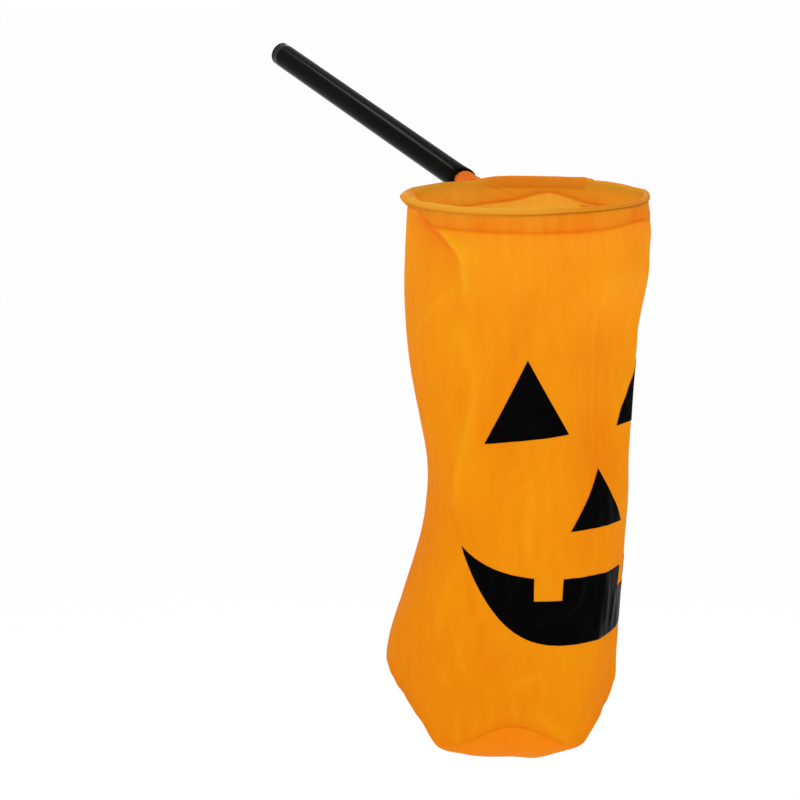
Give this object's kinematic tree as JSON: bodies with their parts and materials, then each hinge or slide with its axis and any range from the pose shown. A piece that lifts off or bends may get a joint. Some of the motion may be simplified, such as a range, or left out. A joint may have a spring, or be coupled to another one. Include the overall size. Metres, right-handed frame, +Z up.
{
  "type": "treat bag",
  "caption": "Soft orange bag on a wire hoop with a black tube handle and a black jack-o'-lantern face, held by hand to collect treats.",
  "frame": {"origin": "middle of the handle tube, on its axis, where a hand grips it", "axes": "+Z up as the bag hangs; the handle lies in the YZ plane and rises towards +Y; the bag hangs on the -Y side with its face towards -Y"},
  "size_m": [0.163, 0.3846, 0.4361],
  "materials": {
    "orange_cloth": "thin plain-weave polyester with a faint sheen, slightly see-through",
    "orange_thread": "matt polyester sewing thread",
    "black_film": "glossy heat-pressed film, lightly creased",
    "black_plastic": "glossy extruded plastic with faint long marks",
    "plug_plastic": "matt moulded plastic",
    "steel_wire": "drawn spring steel"
  },
  "bodies": {
    "handle": {"handle_tube": "black_plastic", "handle_end_cap": "black_plastic", "neck_plug": "plug_plastic", "wire_tails": "steel_wire"},
    "hoop": {"rim_wire": "steel_wire", "rim_casing": "orange_cloth", "neck_gather": "orange_cloth", "hem_thread": "orange_thread", "bag_wall": "orange_cloth", "side_seam": "orange_cloth", "side_thread": "orange_thread", "left_eye": "black_film", "right_eye": "black_film", "nose": "black_film", "mouth": "black_film"},
    "base": {"base_panel": "orange_cloth", "base_seam": "orange_cloth", "base_thread": "orange_thread"}
  },
  "joints": [
    {"name": "hoop_tilt", "type": "hinge", "parent": "handle", "child": "hoop", "pos_m": [0, -0.10574, -0.03538], "axis": [1, 0, 0], "range_deg": [-30, 18]},
    {"name": "bag_collapse", "type": "slide", "parent": "hoop", "child": "base", "axis": [0, 0, 1], "range_m": [0, 0.27], "deforming": ["bag_wall", "side_seam", "side_thread", "left_eye", "right_eye", "nose", "mouth"]}
  ]
}
